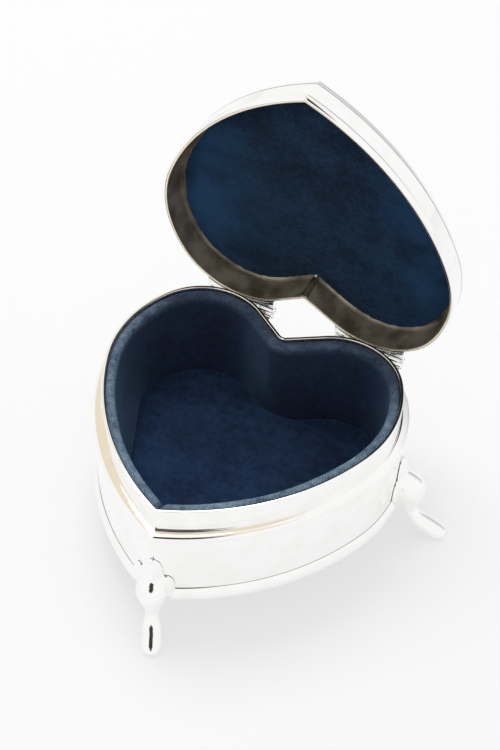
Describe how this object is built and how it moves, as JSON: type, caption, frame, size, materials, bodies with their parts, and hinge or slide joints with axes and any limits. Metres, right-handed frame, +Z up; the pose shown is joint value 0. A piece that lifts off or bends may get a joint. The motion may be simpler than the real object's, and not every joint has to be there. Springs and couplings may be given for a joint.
{
  "type": "ring box",
  "caption": "Heart-shaped ring box in polished silver on cast feet, with a lid hinged at the back of both lobes and a dark blue velvet lining.",
  "frame": {"origin": "on the surface the feet stand on, in the middle plane, under the line through the centres of the lobes", "axes": "+Z up, -Y towards the tip of the heart, +Y towards the hinges, +X to the right as seen from the tip"},
  "size_m": [0.1006, 0.0929, 0.1093],
  "materials": {
    "silver": "hand-polished silver with soft wear marks",
    "velvet": "cut-pile velvet, matt with a soft sheen",
    "card": "plain grey-brown card"
  },
  "bodies": {
    "box": {"base_moulding": "silver", "base_plate": "silver", "body_wall": "silver", "collar": "silver", "floor_board": "card", "floor_pad": "velvet", "front_foot": "silver", "left_box_knuckles": "silver", "left_box_leaf": "silver", "left_foot": "silver", "left_hinge_pin": "silver", "lining_board": "card", "lining_velvet": "velvet", "right_box_knuckles": "silver", "right_box_leaf": "silver", "right_foot": "silver", "right_hinge_pin": "silver", "rim_moulding": "silver"},
    "lid": {"left_lid_knuckles": "silver", "left_lid_leaf": "silver", "lid_band": "silver", "lid_bead": "silver", "lid_pad": "velvet", "lid_pad_board": "card", "lid_top": "silver", "right_lid_knuckles": "silver", "right_lid_leaf": "silver"}
  },
  "joints": [
    {"name": "lid_hinge", "type": "hinge", "parent": "box", "child": "lid", "pos_m": [0, 0.02015, 0.03365], "axis": [1, 0, 0], "range_deg": [0, 83]}
  ]
}
